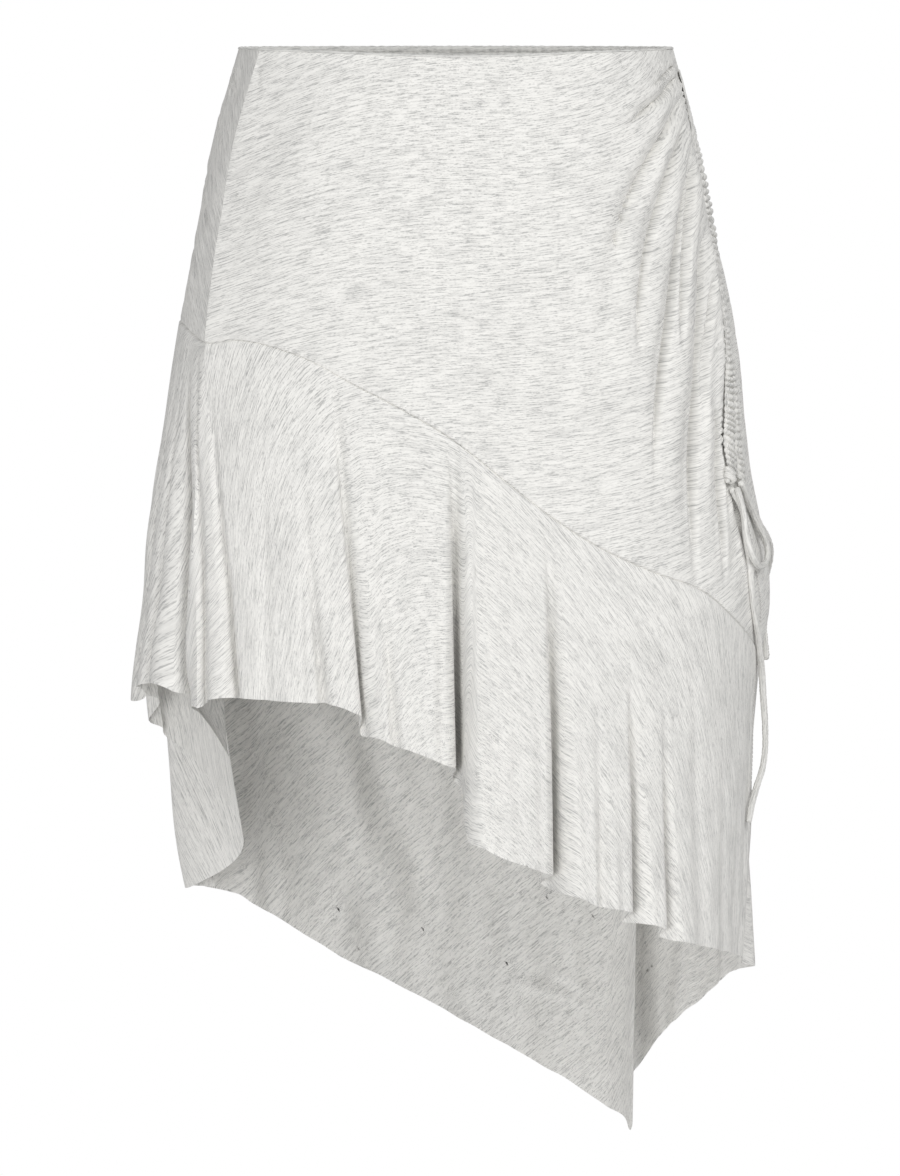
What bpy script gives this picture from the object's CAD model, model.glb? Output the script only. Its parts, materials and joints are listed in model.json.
# %% [markdown]
# An asymmetric midi skirt of pale heather jersey, hanging as it does on a wearer who isn't there.
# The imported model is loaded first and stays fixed: it says where each piece of cloth goes, in metres,
# with +Z up, the front towards -Y and the tied side towards +X.

# %% Load the frame
import json
import math

import bmesh
import bpy
import numpy as np
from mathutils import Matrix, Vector

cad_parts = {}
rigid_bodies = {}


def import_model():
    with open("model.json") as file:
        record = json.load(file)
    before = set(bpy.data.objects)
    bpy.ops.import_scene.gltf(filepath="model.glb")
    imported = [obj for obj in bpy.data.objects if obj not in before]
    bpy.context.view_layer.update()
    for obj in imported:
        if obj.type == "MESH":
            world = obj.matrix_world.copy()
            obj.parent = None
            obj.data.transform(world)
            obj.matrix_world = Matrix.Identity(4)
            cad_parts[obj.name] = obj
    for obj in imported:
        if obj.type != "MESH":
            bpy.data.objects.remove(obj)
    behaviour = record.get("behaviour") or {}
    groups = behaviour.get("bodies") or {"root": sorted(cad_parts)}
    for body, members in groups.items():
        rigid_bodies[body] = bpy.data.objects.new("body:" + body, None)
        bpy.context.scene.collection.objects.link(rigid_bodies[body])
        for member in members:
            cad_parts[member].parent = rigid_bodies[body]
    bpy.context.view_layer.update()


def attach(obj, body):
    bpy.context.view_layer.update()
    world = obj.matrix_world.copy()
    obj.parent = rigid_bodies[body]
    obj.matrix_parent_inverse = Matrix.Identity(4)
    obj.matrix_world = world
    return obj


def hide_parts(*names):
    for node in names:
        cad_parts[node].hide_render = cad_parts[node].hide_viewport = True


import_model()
SOLIDS = {solid.name for solid in bpy.context.scene.objects}

# %% [markdown]
# A shop photographs a skirt from straight in front, with the lens far away, so that nothing bulges.
# The camera is 3.6 m off, a little above the middle, and looks slightly down into the hem, as the
# photograph does. Its lens is worked out from the scale at the skirt: 0.7 mm for each of the picture's
# 1176 rows.

# %% Camera
PICTURE_ROWS = 1176
MM_A_PIXEL = 0.7
SENSOR = 36
EYE = Vector((-0.007, -3.6, -0.10))
AIM = Vector((-0.007, 0.0, -0.3724))


def collect(name, data):
    """A new object in the scene."""
    made = bpy.data.objects.new(name, data)
    bpy.context.scene.collection.objects.link(made)
    return made


def look(thing, at):
    """Turn a camera or a light towards a point."""
    thing.rotation_euler = (at - thing.location).to_track_quat("-Z", "Y").to_euler()


camera = collect("camera", bpy.data.cameras.new("camera"))
camera.location = EYE
look(camera, AIM)
camera.data.sensor_fit = "VERTICAL"
camera.data.sensor_height = SENSOR
camera.data.lens = SENSOR * (AIM - EYE).length / (PICTURE_ROWS * MM_A_PIXEL / 1000)
bpy.context.scene.camera = camera
print("lens", round(camera.data.lens, 1), "mm")

# %% [markdown]
# Plain soft studio light: a large lamp in front, above and to the right, so that the wrapped left side
# turns darker, a weaker one low on the left, which shines up into the hem, a third behind for the back,
# and a white surround that the camera sees as pure white but that lights the cloth less, as a white
# backdrop far behind does.

# %% Light and floor
LAMPS = [
    # name, place, size, watts
    ("key", (1.25, -2.5, 1.3), 1.3, 47),
    ("low_fill", (-1.3, -2.3, -0.75), 1.6, 24),
    ("back", (0.0, 2.6, 1.2), 1.6, 40),
]
MIDDLE = Vector((0, 0, -0.35))
SURROUND = 0.42
FLOOR = {"z": -1.05, "radius": 0.95, "sides": 96, "tint": 0.9, "rough": 0.9}


def material(name):
    """A new node material, its node tree and its Principled shader."""
    made = bpy.data.materials.new(name)
    made.use_nodes = True
    tree = made.node_tree
    return made, tree, tree.nodes["Principled BSDF"]


for name, place, size, watts in LAMPS:
    lamp = collect(name, bpy.data.lights.new(name, "AREA"))
    lamp.data.energy = watts
    lamp.data.size = size
    lamp.location = place
    look(lamp, MIDDLE)
    print(name, "lamp", watts, "W")

world = bpy.data.worlds.new("white_surround")
world.use_nodes = True
nodes, links = world.node_tree.nodes, world.node_tree.links
lighting = nodes["Background"]
lighting.inputs["Color"].default_value = (1, 1, 1, 1)
lighting.inputs["Strength"].default_value = SURROUND
seen = nodes.new("ShaderNodeBackground")
seen.inputs["Color"].default_value = (1, 1, 1, 1)
either = nodes.new("ShaderNodeMixShader")
links.new(nodes.new("ShaderNodeLightPath").outputs["Is Camera Ray"], either.inputs[0])
links.new(lighting.outputs[0], either.inputs[1])
links.new(seen.outputs[0], either.inputs[2])
links.new(either.outputs[0], nodes["World Output"].inputs["Surface"])
bpy.context.scene.world = world
bpy.context.scene.view_settings.view_transform = "Standard"

floor_shape = bmesh.new()
bmesh.ops.create_circle(floor_shape, cap_ends=True, segments=FLOOR["sides"], radius=FLOOR["radius"])
bmesh.ops.translate(floor_shape, verts=floor_shape.verts, vec=(0, 0, FLOOR["z"]))
floor = collect("floor", bpy.data.meshes.new("floor"))
floor_shape.to_mesh(floor.data)
floor_shape.free()
floor_finish, _, shader = material("pale_floor")
shader.inputs["Base Color"].default_value = (*[FLOOR["tint"]] * 3, 1)
shader.inputs["Roughness"].default_value = FLOOR["rough"]
floor.data.materials.append(floor_finish)

# %% [markdown]
# Every piece is a grid that is bent into place: bmesh makes a flat grid, and a function says where the
# point at across and down, each from 0 to 1, goes. A tube is such a grid rolled up, with its long edges
# merged. The same function can give a map of the flat cut, so that the grain of the jersey follows the
# cloth. The mesh is in metres and the functions are in millimetres.

# %% Bend a grid
MM = 0.001
WELD = 1e-6


def along_line(line):
    """How far each point of a line is from its start."""
    return np.r_[0, np.cumsum(np.linalg.norm(np.diff(line, axis=0), axis=1))]


def bent_grid(columns, rows, place, flat, weld=None):
    """A bmesh grid of columns by rows cells whose points are moved by place(across, down). flat(across,
    down) gives the cut's own millimetres, kept as UVs in metres. Points closer than weld, in metres, are
    merged, which closes a grid that was rolled up."""
    grid = bmesh.new()
    bmesh.ops.create_grid(grid, x_segments=columns, y_segments=rows, size=0.5)
    at = np.array([(v.co.x + 0.5, 0.5 - v.co.y) for v in grid.verts])
    cut = flat(at[:, 0], at[:, 1]) * MM
    layer = grid.loops.layers.uv.new("cut")
    for face in grid.faces:
        for corner in face.loops:
            corner[layer].uv = cut[corner.vert.index]
    for vert, point in zip(grid.verts, place(at[:, 0], at[:, 1]) * MM):
        vert.co = point
    if weld:
        bmesh.ops.remove_doubles(grid, verts=grid.verts, dist=weld)
    return grid


def finish_piece(name, shape, finish, solid=None):
    """Turn a bmesh into a smooth piece at the origin that rides on the skirt's one body, in
    the place of the solid that it dresses."""
    mesh = bpy.data.meshes.new(name)
    for face in shape.faces:
        face.smooth = True
    shape.to_mesh(mesh)
    shape.free()
    piece = collect(name, mesh)
    mesh.materials.append(finish)
    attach(piece, "root")
    if solid:
        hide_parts(solid)
    return piece


# %% [markdown]
# The drawstring is a soft tube of the same jersey, 4.6 mm across. It comes out of the front channel,
# is knotted, and hangs in one loop and two free ends. Each run is a smooth curve through points that
# were settled in the model. A Catmull-Rom curve passes through all its points, so the cord lies just
# where the model's solids do. The routes come here, before anything else of the skirt, and the pieces
# follow when their finish is made.

# %% Where the drawstring lies
CORD_ACROSS = 4.6
CORD_STEP = 0.8
CORD_SIDES = 20
CORD_WELD = 2e-5
# the tube's unevenness, in mm and in radians for each mm: fine ribs that twist, slow waves, and a crush
RIB = {"high": 0.10, "pace": 2.4, "twist": 0.8, "drift": 0.13, "sink": 0.08}
WAVE = {"high": 0.07, "pace": 0.83, "wobble": 1.7, "drift": 0.19}
CRUSH = {"share": 0.07, "drift": 0.06}
LOOP = [
    (191.7, -73.3, -293.4), (193.6, -70.2, -297.8), (196.5, -63.5, -305.0), (200.9, -55.5, -314.2),
    (205.7, -48.0, -324.6), (209.4, -44.0, -331.7), (211.6, -42.0, -337.7), (212.6, -42.5, -343.6),
    (212.1, -46.0, -348.5), (209.5, -53.5, -352.1), (206.0, -61.0, -352.5), (202.7, -68.8, -348.7),
    (199.7, -72.6, -342.9), (197.4, -72.0, -336.1), (195.8, -71.0, -328.6), (194.9, -70.6, -319.0),
    (193.2, -72.4, -310.7), (191.2, -75.0, -303.7), (189.2, -76.0, -297.2),
]
LONG_END = [
    (185.5, -72.5, -297.8), (188.8, -71.4, -303.9), (192.2, -67.2, -310.3), (194.8, -64.6, -318.0),
    (195.8, -65.2, -327.6), (196.4, -65.8, -334.4), (197.8, -65.4, -342.7), (199.2, -65.2, -352.3),
    (200.4, -64.6, -365.4), (201.9, -60.8, -380.2), (205.0, -53.8, -396.6), (207.2, -45.2, -410.5),
    (209.2, -37.0, -427.1), (210.8, -31.0, -446.9), (212.3, -28.0, -466.4), (212.2, -29.0, -484.1),
    (210.0, -33.0, -496.7), (205.9, -37.6, -508.2), (202.3, -42.0, -520.2), (199.9, -43.2, -532.8),
]
SHORT_END = [
    (190.3, -70.0, -289.3), (192.7, -65.0, -293.2), (194.7, -60.2, -299.0), (197.8, -53.5, -306.3),
    (201.9, -47.5, -315.6), (207.6, -40.5, -325.7), (213.4, -24.0, -335.1), (216.7, -3.0, -344.2),
    (217.6, 18.0, -354.8), (216.3, 34.0, -367.2), (215.7, 42.0, -384.1), (215.4, 40.0, -400.9),
    (215.5, 33.0, -411.6), (215.9, 27.0, -418.2), (216.1, 22.0, -424.8),
]


print(len(LOOP) + len(LONG_END) + len(SHORT_END), "points on the cord's routes")


def between(t, low, high, one, other):
    """The point that is as far from one to other as t is from low to high."""
    return ((high - t) * one + (t - low) * other) / (high - low)


def smooth_line(points):
    """Points every cord step on the centripetal Catmull-Rom curve through some points."""
    p = np.array(points, float)
    p = np.vstack([2 * p[0] - p[1], p, 2 * p[-1] - p[-2]])
    line = []
    for before, start, end, after in zip(p, p[1:], p[2:], p[3:]):
        spans = ((before, start), (start, end), (end, after))
        k = np.cumsum([0, *(np.linalg.norm(there - here) ** 0.5 for here, there in spans)])
        count = max(int(np.linalg.norm(end - start) / CORD_STEP), 2)
        t = np.linspace(k[1], k[2], count, endpoint=False)[:, None]
        a = between(t, k[0], k[1], before, start)
        b = between(t, k[1], k[2], start, end)
        c = between(t, k[2], k[3], end, after)
        line.append(between(t, k[1], k[2], between(t, k[0], k[2], a, b), between(t, k[1], k[3], b, c)))
    line = np.vstack([*line, p[-2][None]])
    along = along_line(line)
    even = np.linspace(0, along[-1], max(int(along[-1] / CORD_STEP), 8) + 1)
    return np.stack([np.interp(even, along, line[:, k]) for k in range(3)], axis=1)


def frames_along(line):
    """Two directions across a line at each point, carried along it without a twist."""
    ahead = np.gradient(line, axis=0)
    ahead /= np.linalg.norm(ahead, axis=1)[:, None]
    side = np.cross(ahead[0], (0, 0, 1.0) if abs(ahead[0][2]) < 0.9 else (1.0, 0, 0))
    sides = []
    for way in ahead:
        side = side - way * (side @ way)
        side = side / np.linalg.norm(side)
        sides.append(side)
    sides = np.array(sides)
    return sides, np.cross(ahead, sides)


def cord_run(name, points, solid, ribs=1.0):
    """A soft tube with fine cross ridges, uneven as a turned fabric tube is, with rounded ends. It gives
    the piece, and its path and length in metres."""
    line = smooth_line(points)
    side, other = frames_along(line)
    steps = len(line) - 1
    whole = steps * CORD_STEP
    radius = CORD_ACROSS / 2

    def place(across, down):
        turn = 2 * np.pi * across
        index = np.round(down * steps).astype(int)
        mm = down * whole
        end = np.minimum(mm, whole - mm)
        dome = np.sqrt(np.clip(1 - (1 - np.minimum(end / radius, 1)) ** 2, 0, 1))
        rib = RIB["high"] * np.sin(mm * RIB["pace"] + RIB["twist"] * np.sin(turn + mm * RIB["drift"]))
        rib += WAVE["high"] * np.sin(mm * WAVE["pace"] + WAVE["wobble"] * np.sin(mm * WAVE["drift"]))
        crush = 1 + CRUSH["share"] * np.cos(2 * turn + mm * CRUSH["drift"])
        reach = (radius * crush + ribs * (rib - RIB["sink"])) * dome
        outwards = side[index] * np.cos(turn)[:, None] + other[index] * np.sin(turn)[:, None]
        return line[index] + outwards * reach[:, None]

    def flat(across, down):
        return np.stack([down * whole, across * 2 * np.pi * radius], axis=1)

    tube = bent_grid(CORD_SIDES, steps, place, flat, CORD_WELD)
    bmesh.ops.recalc_face_normals(tube, faces=tube.faces)
    piece = finish_piece(name, tube, CORD_FINISH, solid)
    run = float(along_line(line)[-1])
    print(name, "length", round(run), "mm")
    return piece, line * MM, run * MM


# %% [markdown]
# Heather jersey is knitted from yarn that mixes white and grey fibres. From a step away it is off-white
# with short grey streaks along the courses of the knit, and up close the wales show as fine ribs.
# The streaks are noise that is stretched along the grain of the flat cut: thin dashes, broken up by a
# shorter noise, over broad soft strokes and clouds. The wales are a very fine wave. One node group makes
# colour, roughness and normal, and each material gives it its own tints, so the cord, the cloth and its
# cut edges all belong together.

# %% Heather group
MARKS = {
    # mm along the grain, mm across it, detail, and the turn off the grain in radians
    "dash": (16, 0.75, 2, 0),
    "break": (3.4, 0.75, 1, -0.05),
    "stroke": (36, 2.2, 2, 0.05),
    "cloud": (80, 30, 2, 0),
    "crinkle": (30, 7, 2, 0.25),
}
WALES = {"Scale": 160.0, "Distortion": 3.0, "Detail": 1.0, "Detail Scale": 2.0}
BUMP_DEPTH = 0.0008
WALE_HEIGHT = 0.5
CRINKLE_HEIGHT = 14.0
MATT = {"To Min": 0.88, "To Max": 0.97}


def socket(tree, name, kind, default=None, output=False):
    """Add a socket to a node group."""
    made = tree.interface.new_socket(name, in_out="OUTPUT" if output else "INPUT", socket_type=kind)
    if default is not None:
        made.default_value = default
    return made


def node(tree, kind, values=(), **settings):
    """A node with its settings, and plain values for its inputs by name or number."""
    made = tree.nodes.new(kind)
    for key, value in settings.items():
        setattr(made, key, value)
    for key, value in dict(values).items():
        made.inputs[key].default_value = value
    return made


def arithmetic(tree, operation, one, other, clamped=False):
    """A Math node on two sockets or numbers; its output."""
    made = node(tree, "ShaderNodeMath", operation=operation, use_clamp=clamped)
    for place, value in enumerate((one, other)):
        if isinstance(value, (int, float)):
            made.inputs[place].default_value = value
        else:
            tree.links.new(value, made.inputs[place])
    return made.outputs[0]


def heather_group():
    """Streaked heather knit on the cut's own coordinates, which are in metres."""
    tree = bpy.data.node_groups.new("heather_jersey", "ShaderNodeTree")
    socket(tree, "Cut", "NodeSocketVector")
    socket(tree, "Light", "NodeSocketColor", (0.8, 0.79, 0.76, 1))
    socket(tree, "Dark", "NodeSocketColor", (0.5, 0.5, 0.49, 1))
    socket(tree, "Relief", "NodeSocketFloat", 0.3)
    socket(tree, "Crinkled", "NodeSocketFloat", 0.0)
    socket(tree, "Color", "NodeSocketColor", output=True)
    socket(tree, "Roughness", "NodeSocketFloat", output=True)
    socket(tree, "Normal", "NodeSocketVector", output=True)
    given = node(tree, "NodeGroupInput").outputs
    taken = node(tree, "NodeGroupOutput").inputs

    def stretched(kind):
        """Noise whose marks are along by across millimetres."""
        along, across, detail, turn = MARKS[kind]
        scale = (1 / along / MM, 1 / across / MM, 1)
        mapped = node(tree, "ShaderNodeMapping", {"Rotation": (0, 0, turn), "Scale": scale})
        tree.links.new(given["Cut"], mapped.inputs["Vector"])
        noise = node(tree, "ShaderNodeTexNoise", {"Scale": 1.0, "Detail": detail, "Roughness": 0.6})
        tree.links.new(mapped.outputs[0], noise.inputs["Vector"])
        return noise.outputs[0]

    def weighed(one, other, share, low, high, strength):
        """A mask from two noises: none below low, and strength above high."""
        both = arithmetic(tree, "ADD", arithmetic(tree, "MULTIPLY", one, share),
                          arithmetic(tree, "MULTIPLY", other, 1 - share))
        mask = node(tree, "ShaderNodeMapRange", {"From Min": low, "From Max": high, "To Max": strength})
        tree.links.new(both, mask.inputs["Value"])
        return mask.outputs[0]

    dashes = weighed(stretched("dash"), stretched("break"), share=0.68, low=0.5, high=0.62, strength=0.82)
    soft = weighed(stretched("stroke"), stretched("cloud"), share=0.72, low=0.46, high=0.72, strength=0.48)
    total = arithmetic(tree, "ADD", dashes, soft, clamped=True)
    mix = node(tree, "ShaderNodeMix", data_type="RGBA")
    tree.links.new(total, mix.inputs[0])
    tree.links.new(given["Light"], mix.inputs[6])
    tree.links.new(given["Dark"], mix.inputs[7])
    tree.links.new(mix.outputs[2], taken["Color"])
    rough = node(tree, "ShaderNodeMapRange", MATT)
    tree.links.new(total, rough.inputs["Value"])
    tree.links.new(rough.outputs[0], taken["Roughness"])

    wales = node(tree, "ShaderNodeTexWave", WALES, bands_direction="Y")
    tree.links.new(given["Cut"], wales.inputs["Vector"])
    ribs = arithmetic(tree, "MULTIPLY", wales.outputs["Fac"], WALE_HEIGHT)
    height = arithmetic(tree, "SUBTRACT", ribs, total)
    crinkles = arithmetic(tree, "MULTIPLY", stretched("crinkle"), CRINKLE_HEIGHT)
    height = arithmetic(tree, "ADD", height, arithmetic(tree, "MULTIPLY", crinkles, given["Crinkled"]))
    bump = node(tree, "ShaderNodeBump", {"Distance": BUMP_DEPTH})
    tree.links.new(given["Relief"], bump.inputs["Strength"])
    tree.links.new(height, bump.inputs["Height"])
    tree.links.new(bump.outputs[0], taken["Normal"])
    return tree


HEATHER = heather_group()
print("heather group", len(HEATHER.nodes), "nodes")


# %% [markdown]
# Each finish is a Principled material that takes its colour, roughness and normal from the group. The
# outside is lightest, the turned strip a little greyer, the cord smoother, and the thread greyest. On the
# back panel, which wraps round the plain side, the group's crinkles come in over the last centimetres of
# the cut.

# %% Jersey finishes
PALE, GREY = (0.87, 0.86, 0.83), (0.46, 0.46, 0.45)
CRINKLED_SIDE = {"From Min": 0.80, "From Max": 0.87}
SURFACE = {"Sheen Weight": 0.12, "Sheen Roughness": 0.6, "Specular IOR Level": 0.2}


def jersey(name, light, dark, relief=0.35, crinkled=False):
    """A jersey material with its own tints, finely crinkled on the plain side where it is asked for."""
    made, tree, shader = material(name)
    cut = node(tree, "ShaderNodeUVMap", uv_map="cut")
    tints = {"Light": (*light, 1), "Dark": (*dark, 1), "Relief": relief}
    group = tree.nodes.new("ShaderNodeGroup")
    group.node_tree = HEATHER
    for key, value in tints.items():
        group.inputs[key].default_value = value
    if crinkled:
        apart = node(tree, "ShaderNodeSeparateXYZ")
        tree.links.new(cut.outputs[0], apart.inputs[0])
        side = node(tree, "ShaderNodeMapRange", CRINKLED_SIDE)
        tree.links.new(apart.outputs["X"], side.inputs["Value"])
        tree.links.new(side.outputs[0], group.inputs["Crinkled"])
    tree.links.new(cut.outputs[0], group.inputs["Cut"])
    tree.links.new(group.outputs["Color"], shader.inputs["Base Color"])
    tree.links.new(group.outputs["Roughness"], shader.inputs["Roughness"])
    tree.links.new(group.outputs["Normal"], shader.inputs["Normal"])
    for key, value in SURFACE.items():
        shader.inputs[key].default_value = value
    print("finish", name)
    return made


CLOTH = jersey("heather_jersey", PALE, GREY)
SIDE_CLOTH = jersey("crinkled_jersey", PALE, GREY, crinkled=True)
INSIDE = jersey("jersey_inside", (0.73, 0.725, 0.70), (0.42, 0.42, 0.41))
CORD_FINISH = jersey("jersey_tube", (0.84, 0.83, 0.80), (0.56, 0.56, 0.54), relief=0.5)
THREAD = jersey("sewing_thread", (0.72, 0.71, 0.69), (0.50, 0.50, 0.49), relief=0.2)
DARK_THREAD = jersey("grey_thread", (0.36, 0.36, 0.35), (0.24, 0.24, 0.23), relief=0.2)

# %% [markdown]
# With its finish made, the cord's three visible runs can be built. The short end lies partly behind the
# skirt's edge, and its ribs are deeper, as in the photograph.

# %% Cords
loop, loop_path, loop_length = cord_run("loop_of_drawstring", LOOP, "drawstring_loop")
long_end, long_path, long_length = cord_run("long_end_of_drawstring", LONG_END, "drawstring_long_end")
short_end, short_path, short_length = cord_run(
    "short_end_of_drawstring", SHORT_END, "drawstring_short_end", ribs=2.6
)

# %% [markdown]
# The cloth is one surface, a function of an angle round the skirt and a level down it: 0 at the waist,
# 1 at the flounce's seam and 2 at the hem. Rings of named half sizes give the figure's form, a table of
# folds gives the flounce, and a table of creases gives what the gathered side pulls. It could be cloth
# simulation, but a simulation would put its folds where it likes, so these are placed by hand.

# %% Tables of the cloth's form
ROUNDNESS = 2.35
WAIST = {"drop": -1.75, "tilt": 5.9, "sides": 1.25}
SECTIONS = {
    "drop": (-10, 0, 60, 130, 200, 290, 340, 380, 412, 450, 530, 620, 780),
    "plain": (151, 154, 171, 185, 198, 211, 218, 223, 228, 232, 234, 230, 224),
    "tied": (146, 149, 165, 178, 192, 204, 213, 216, 211, 207, 203, 200, 196),
    "front": (93, 95, 107, 118, 125, 130, 132, 134, 136, 139, 143, 147, 150),
    "back": (98, 100, 115, 129, 136, 140, 142, 144, 146, 148, 152, 158, 168),
}
FLOUNCE_SEAM = [
    # angle, drop
    (-97, 184), (-80, 187), (-66, 198), (-59, 196), (-45, 206), (-31, 225), (-18, 241), (-3, 261), (12, 288),
    (26, 315), (38, 336), (49, 352), (60, 367), (69, 390), (80, 410), (100, 404), (130, 366), (160, 312),
    (190, 262), (220, 220), (245, 195),
]
SIDE_SEAMS = {
    "level": (0, 0.2, 0.42, 0.56, 0.63, 0.7, 0.84, 1),
    "plain": (-67.5, -68.3, -68.5, -68, -67.8, -67.6, -67, -66.3),
    "tied": (88, 86, 81.4, 76.2, 74.2, 73, 75.5, 80.5),
}
FLOUNCE_SIDES = {"plain_hem": -54.6, "tied_seam": 80.5, "tied_hem": 86}
# seam and hem are angles in degrees from the front towards the tied side, start is a share of the way
# down, and the rest is in mm, with the hem's drop before, in and after the fold
FOLD_COLUMNS = ("seam", "hem", "half", "depth", "start", "pinch", "lean", "before", "middle", "after")
FOLDS = [
    (-90, -108, 19, 58, 0.1, 3, 0, 590, 553, 487),
    (-84, -98, 13, 15, 0.3, 1, 0, 466, 453, 449),
    (-78, -84, 9, 9, 0.05, 2, 0, 449, 445, 438),
    (-72.5, -66, 10, 50, 0.1, 3, -3, 439, 486, 450),
    (-69.2, -60, 7, 9, 0, 1, -3, 446, 443, 440),
    (-66.2, -54, 9, 11, 0.1, 2, 0, 438, 439, 438),
    (-46, -35, 10, 8, 0.35, 2, -3, 440, 440, 441),
    (-36, -24.5, 12, 16, 0, 4, -7, 448, 463, 463),
    (-28, -17, 8, 7, 0.5, 1, -2, 467, 469, 470),
    (-2, 1, 14, 42, 0, 5, -6, 484, 498, 535),
    (1, 3.8, 1, 0, 0.5, 0, 0, 501, 508, 522),
    (25, 27.5, 14, 34, 0.05, 5, -9, 557, 567, 571),
    (34.5, 37, 9, 7, 0.4, 1, -2, 578, 579, 580),
    (43, 45.5, 10, 20, 0.3, 3, -5, 584, 592, 592),
    (50, 53, 8, 13, 0.35, 2, -4, 597, 602, 605),
    (77, 80, 12, 4, 0, 1, 0, 624, 625, 627),
    (103, 107, 18, 4, 0.1, 1, 0, 649, 657, 660),
    (119, 124, 16, 4, 0.1, 1, 0, 683, 693, 699),
    (134, 138.5, 15, 36, 0.1, 5, -26, 736, 770, 766),
    (160, 163, 26, 5, 0.2, 1, 0, 739, 728, 719),
    (184, 185, 26, 5, 0.1, 1, 0, 703, 692, 683),
    (208, 209, 28, 6, 0, 1, 0, 664, 655, 643),
    (229, 230, 18, 5, 0.1, 1, 0, 617, 611, 603),
    (241, 243.5, 15, 15, 0.2, 1, 0, 595, 592, 592),
]
GROWTH = 1.15
NARROW = 0.45
SHOULDER = {"width": 2.6, "depth": 0.18}
WALL_TOP = 0.7
PINCH_POWER = 1.4
# a crease runs from an angle and drop to another: a high sweep bends it, half its width and depth are mm
CREASE_COLUMNS = ("angle", "drop", "to_angle", "to_drop", "sweep", "half", "depth")
CREASES = [
    (80, 8, 63, 24, 1.1, 4, 2),
    (80, 16, 51, 53, 1.1, 5, 2.6),
    (79, 28, 43, 172, 2.2, 7, 3.4),
    (78, 42, 49, 205, 2.2, 7, 3.2),
    (78, 58, 51, 290, 2, 7, 3.4),
    (77, 73, 59, 200, 1.5, 7, 3.6),
    (76, 115, 58, 370, 2.2, 9, 4.4),
    (68, 235, 65, 350, 1, 6, 2.6),
    (86, 20, 78, 420, 1, 20, 4),
    (94, 30, 122, 190, 2, 8, 3.4),
    (93, 60, 114, 290, 2, 8, 3.4),
    (91, 100, 104, 370, 2, 9, 3.6),
]
CREASE_SCALE = 2.8
CREASE_START = 0.12
EDGE = {"half": 30, "height": 5, "fade": 0.5, "power": 1.7}
TURN = 360
print(len(FOLDS), "folds and", len(CREASES), "creases")

# %% [markdown]
# The same few functions as in the model, now on whole arrays of points: a cubic through the rows of a
# table, and the ring at a drop. Arrays keep a grid of forty thousand points fast.

# %% Functions of the form
def smoothstep(x, low, high):
    t = np.clip((x - low) / (high - low), 0, 1)
    return t * t * (3 - 2 * t)


def lerp(one, other, t):
    return one + (other - one) * t


def through_rows(x, xs, ys):
    """Cubic through the rows, with its slope at each row taken from the rows beside it."""
    xs, ys = np.array(xs, float), np.array(ys, float)
    before = np.maximum(np.arange(len(xs)) - 1, 0)
    after = np.minimum(np.arange(len(xs)) + 1, len(xs) - 1)
    slope = (ys[after] - ys[before]) / (xs[after] - xs[before])
    x = np.clip(x, xs[0], xs[-1])
    i = np.clip(np.searchsorted(xs, x, side="right") - 1, 0, len(xs) - 2)
    length = xs[i + 1] - xs[i]
    t = (x - xs[i]) / length
    return (1 - t) ** 2 * ((1 + 2 * t) * ys[i] + t * length * slope[i]) + t**2 * (
        (3 - 2 * t) * ys[i + 1] - (1 - t) * length * slope[i + 1]
    )


def round_rows(angle, angles, values, turned=0.0):
    """The same for rows that go once round the skirt; a turn adds turned to the values."""
    angles, values = np.array(angles, float), np.array(values, float)
    base = np.mod(angle - angles[0], TURN) + angles[0]
    xs = np.concatenate([angles + k * TURN for k in (-1, 0, 1)])
    ys = np.concatenate([values + k * turned for k in (-1, 0, 1)])
    return through_rows(base, xs, ys) + np.round((angle - base) / TURN) * turned


def ring(angle, drop):
    """Point of the smooth ring, without folds."""
    sin, cos = np.sin(np.radians(angle)), np.cos(np.radians(angle))
    sides = ("plain", "tied", "front", "back")
    plain, tied, front, back = (through_rows(drop, SECTIONS["drop"], SECTIONS[side]) for side in sides)
    across = np.abs(sin) / np.where(sin < 0, plain, tied)
    along = np.abs(cos) / np.where(cos > 0, front, back)
    reach = (across**ROUNDNESS + along**ROUNDNESS) ** (-1 / ROUNDNESS)
    return np.stack([reach * sin, -reach * cos], axis=-1)


def degree_length(angle, drop):
    return np.linalg.norm(ring(angle + 0.5, drop) - ring(angle - 0.5, drop), axis=-1)


def table(rows, columns):
    return [dict(zip(columns, row)) for row in rows]


folds = table(FOLDS, FOLD_COLUMNS)
for fold in folds:
    fold["degree"] = float(degree_length(np.array(fold["hem"], float), np.array(fold["middle"], float)))
hem_rows = sorted(
    (fold["hem"] + side * WALL_TOP * fold["half"] / fold["degree"], fold[key])
    for fold in folds
    for side, key in ((-1, "before"), (0, "middle"), (1, "after"))
)
HEM_ANGLES, HEM_DROPS = zip(*hem_rows)
tied_edge = (FLOUNCE_SIDES["tied_hem"], FLOUNCE_SIDES["tied_seam"])
hem_to_seam = sorted([(fold["hem"], fold["seam"]) for fold in folds] + [tied_edge])
print(len(SECTIONS["drop"]), "rings and", len(hem_rows), "rows of the hem")

# %% [markdown]
# A point of the cloth is found by its level: 0 to 1 lies between the waist and the flounce's seam, 1 to 2
# between that seam and the hem. A flounce's cloth runs down along its folds, so a place at the hem also
# says where its line starts at the seam.

# %% Edges of the cloth
def waist_drop(angle):
    turn = np.radians(angle)
    return WAIST["drop"] + WAIST["tilt"] * np.cos(turn) + WAIST["sides"] * np.cos(2 * turn)


def seam_drop(angle):
    return round_rows(angle, *zip(*FLOUNCE_SEAM))


def hem_drop(angle):
    return round_rows(angle, HEM_ANGLES, HEM_DROPS)


def drop_at(angle, level):
    upper = lerp(waist_drop(angle), seam_drop(angle), level)
    return np.where(level < 1, upper, lerp(seam_drop(angle), hem_drop(angle), level - 1))


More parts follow.
